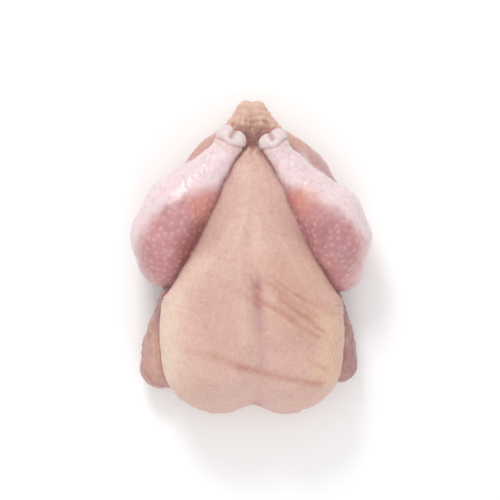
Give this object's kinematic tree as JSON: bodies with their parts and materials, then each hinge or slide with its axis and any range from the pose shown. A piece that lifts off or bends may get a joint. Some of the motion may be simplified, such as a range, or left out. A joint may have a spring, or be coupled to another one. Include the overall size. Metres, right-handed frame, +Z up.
{
  "type": "whole raw chicken",
  "caption": "Raw whole chicken, plucked and dressed, lying on its back with folded legs and wings.",
  "frame": {"origin": "middle of the footprint, on the flat of the back that the bird rests on", "axes": "+Z up through the breast, +Y towards the tail and the hocks, -Y towards the neck end"},
  "size_m": [0.1636, 0.2113, 0.0771],
  "materials": {
    "skin": "moist raw poultry skin, satin"
  },
  "bodies": {
    "root": {"chicken": "skin"}
  },
  "joints": []
}
